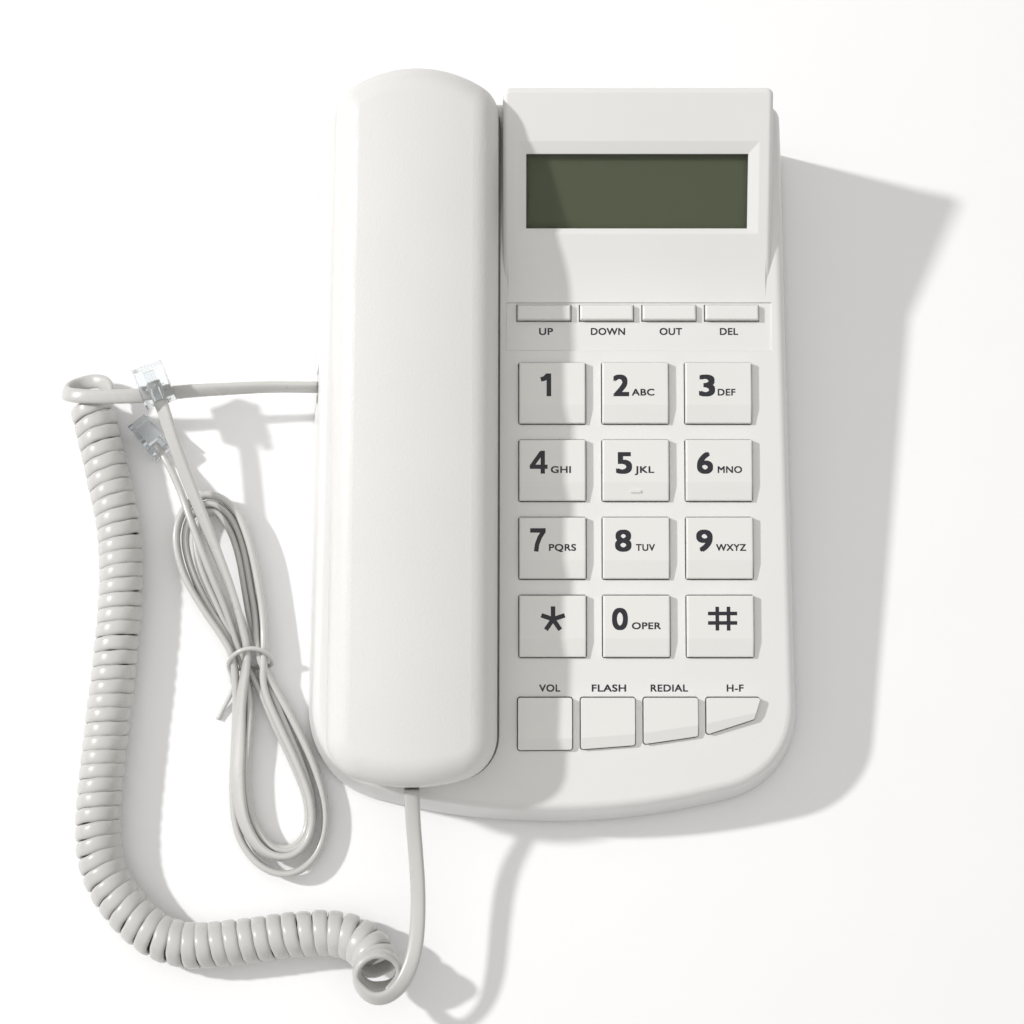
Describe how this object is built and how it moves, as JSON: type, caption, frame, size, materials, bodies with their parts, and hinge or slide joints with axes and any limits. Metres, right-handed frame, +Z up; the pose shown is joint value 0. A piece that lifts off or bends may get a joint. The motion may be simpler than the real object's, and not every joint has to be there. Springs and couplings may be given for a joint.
{
  "type": "corded desk telephone",
  "caption": "Corded desk telephone: wedge base with keypad and caller display, cradled handset, curly handset cord and a tied line cord.",
  "frame": {"origin": "centre of the box round base and handset, on the surface under the feet", "axes": "+Z up, +Y away from the user towards the display, +X to the user's right; the handset lies on the -X side"},
  "size_m": [0.2297, 0.2768, 0.0646],
  "materials": {
    "base_plastic": "satin moulded ABS, warm white",
    "handset_plastic": "finely grained moulded ABS, warm white",
    "key_plastic": "satin moulded ABS, slightly ivory",
    "window": "clear polished acrylic",
    "lcd": "unlit olive green liquid crystal glass",
    "dark_plastic": "black moulded nylon",
    "mat_rubber": "grey silicone",
    "board": "green solder resist",
    "board_parts": "moulded black",
    "battery_jacket": "printed sleeve, plain",
    "contact_metal": "nickel plated",
    "speaker": "pressed steel",
    "capsule": "bare can",
    "weight_iron": "bare",
    "screw_steel": "zinc plated",
    "foot_rubber": "matt black",
    "cord_vinyl": "smooth flexible vinyl, warm light grey",
    "clear_plastic": "clear moulded polycarbonate",
    "tie_vinyl": "vinyl coated wire"
  },
  "bodies": {
    "base": {"base_top_shell": "base_plastic", "base_bottom_shell": "base_plastic", "batteries": "battery_jacket", "battery_contacts": "contact_metal", "keypad_mat": "mat_rubber", "keypad_board": "board", "main_board": "board", "board_parts": "board_parts", "lcd_window": "window", "lcd_panel": "lcd", "lcd_holder": "dark_plastic", "line_jack": "dark_plastic", "handset_jack": "base_plastic", "base_speaker": "speaker", "base_microphone": "capsule", "hook_switch": "dark_plastic", "feet": "foot_rubber", "base_screws": "screw_steel", "handset_cord_base_plug": "clear_plastic", "handset_cord_base_lead": "cord_vinyl", "handset_cord_coil": "cord_vinyl", "handset_cord_lead": "cord_vinyl", "line_cord_hank": "cord_vinyl", "line_cord_tail_a": "cord_vinyl", "line_cord_tail_b": "cord_vinyl", "line_cord_plug_a": "clear_plastic", "line_cord_plug_b": "clear_plastic", "line_cord_tie": "tie_vinyl"},
    "handset": {"handset_outer_shell": "handset_plastic", "handset_inner_shell": "handset_plastic", "handset_screws": "screw_steel", "handset_receiver": "speaker", "handset_microphone": "capsule", "handset_weight": "weight_iron", "handset_socket": "dark_plastic", "handset_cord_plug": "clear_plastic"},
    "hook": {"hook_plunger": "base_plastic"},
    "door": {"battery_door": "base_plastic"},
    "button_1": {"key_1": "key_plastic"},
    "button_2": {"key_2": "key_plastic"},
    "button_3": {"key_3": "key_plastic"},
    "button_4": {"key_4": "key_plastic"},
    "button_5": {"key_5": "key_plastic"},
    "button_6": {"key_6": "key_plastic"},
    "button_7": {"key_7": "key_plastic"},
    "button_8": {"key_8": "key_plastic"},
    "button_9": {"key_9": "key_plastic"},
    "button_star": {"key_star": "key_plastic"},
    "button_0": {"key_0": "key_plastic"},
    "button_hash": {"key_hash": "key_plastic"},
    "button_volume": {"key_volume": "key_plastic"},
    "button_flash": {"key_flash": "key_plastic"},
    "button_redial": {"key_redial": "key_plastic"},
    "button_handsfree": {"key_handsfree": "key_plastic"},
    "button_up": {"key_up": "key_plastic"},
    "button_down": {"key_down": "key_plastic"},
    "button_out": {"key_out": "key_plastic"},
    "button_delete": {"key_delete": "key_plastic"}
  },
  "joints": [
    {"name": "handset_lift", "type": "slide", "parent": "base", "child": "handset", "axis": [0, -0.1045, 0.9945], "range_m": [0, 0.06]},
    {"name": "hook_rise", "type": "slide", "parent": "base", "child": "hook", "axis": [0, -0.1045, 0.9945], "range_m": [0, 0.005]},
    {"name": "door_release", "type": "slide", "parent": "base", "child": "door", "axis": [0, 0, -1], "range_m": [0, 0.012]},
    {"name": "press_1", "type": "slide", "parent": "base", "child": "button_1", "axis": [0, 0.1045, -0.9945], "range_m": [0, 0.0013], "stiffness_N_per_m": 800, "springref_m": -0.0004},
    {"name": "press_2", "type": "slide", "parent": "base", "child": "button_2", "axis": [0, 0.1045, -0.9945], "range_m": [0, 0.0013], "stiffness_N_per_m": 800, "springref_m": -0.0004},
    {"name": "press_3", "type": "slide", "parent": "base", "child": "button_3", "axis": [0, 0.1045, -0.9945], "range_m": [0, 0.0013], "stiffness_N_per_m": 800, "springref_m": -0.0004},
    {"name": "press_4", "type": "slide", "parent": "base", "child": "button_4", "axis": [0, 0.1045, -0.9945], "range_m": [0, 0.0013], "stiffness_N_per_m": 800, "springref_m": -0.0004},
    {"name": "press_5", "type": "slide", "parent": "base", "child": "button_5", "axis": [0, 0.1045, -0.9945], "range_m": [0, 0.0013], "stiffness_N_per_m": 800, "springref_m": -0.0004},
    {"name": "press_6", "type": "slide", "parent": "base", "child": "button_6", "axis": [0, 0.1045, -0.9945], "range_m": [0, 0.0013], "stiffness_N_per_m": 800, "springref_m": -0.0004},
    {"name": "press_7", "type": "slide", "parent": "base", "child": "button_7", "axis": [0, 0.1045, -0.9945], "range_m": [0, 0.0013], "stiffness_N_per_m": 800, "springref_m": -0.0004},
    {"name": "press_8", "type": "slide", "parent": "base", "child": "button_8", "axis": [0, 0.1045, -0.9945], "range_m": [0, 0.0013], "stiffness_N_per_m": 800, "springref_m": -0.0004},
    {"name": "press_9", "type": "slide", "parent": "base", "child": "button_9", "axis": [0, 0.1045, -0.9945], "range_m": [0, 0.0013], "stiffness_N_per_m": 800, "springref_m": -0.0004},
    {"name": "press_star", "type": "slide", "parent": "base", "child": "button_star", "axis": [0, 0.1045, -0.9945], "range_m": [0, 0.0013], "stiffness_N_per_m": 800, "springref_m": -0.0004},
    {"name": "press_0", "type": "slide", "parent": "base", "child": "button_0", "axis": [0, 0.1045, -0.9945], "range_m": [0, 0.0013], "stiffness_N_per_m": 800, "springref_m": -0.0004},
    {"name": "press_hash", "type": "slide", "parent": "base", "child": "button_hash", "axis": [0, 0.1045, -0.9945], "range_m": [0, 0.0013], "stiffness_N_per_m": 800, "springref_m": -0.0004},
    {"name": "press_volume", "type": "slide", "parent": "base", "child": "button_volume", "axis": [0, 0.1045, -0.9945], "range_m": [0, 0.0013], "stiffness_N_per_m": 800, "springref_m": -0.0004},
    {"name": "press_flash", "type": "slide", "parent": "base", "child": "button_flash", "axis": [0, 0.1045, -0.9945], "range_m": [0, 0.0013], "stiffness_N_per_m": 800, "springref_m": -0.0004},
    {"name": "press_redial", "type": "slide", "parent": "base", "child": "button_redial", "axis": [0, 0.1045, -0.9945], "range_m": [0, 0.0013], "stiffness_N_per_m": 800, "springref_m": -0.0004},
    {"name": "press_handsfree", "type": "slide", "parent": "base", "child": "button_handsfree", "axis": [0, 0.1045, -0.9945], "range_m": [0, 0.0013], "stiffness_N_per_m": 800, "springref_m": -0.0004},
    {"name": "press_up", "type": "slide", "parent": "base", "child": "button_up", "axis": [0, 0.1045, -0.9945], "range_m": [0, 0.0013], "stiffness_N_per_m": 800, "springref_m": -0.0004},
    {"name": "press_down", "type": "slide", "parent": "base", "child": "button_down", "axis": [0, 0.1045, -0.9945], "range_m": [0, 0.0013], "stiffness_N_per_m": 800, "springref_m": -0.0004},
    {"name": "press_out", "type": "slide", "parent": "base", "child": "button_out", "axis": [0, 0.1045, -0.9945], "range_m": [0, 0.0013], "stiffness_N_per_m": 800, "springref_m": -0.0004},
    {"name": "press_delete", "type": "slide", "parent": "base", "child": "button_delete", "axis": [0, 0.1045, -0.9945], "range_m": [0, 0.0013], "stiffness_N_per_m": 800, "springref_m": -0.0004}
  ],
  "couplings": [
    {"joint": "hook_rise", "follows": "handset_lift", "ratio": 0.0833}
  ]
}
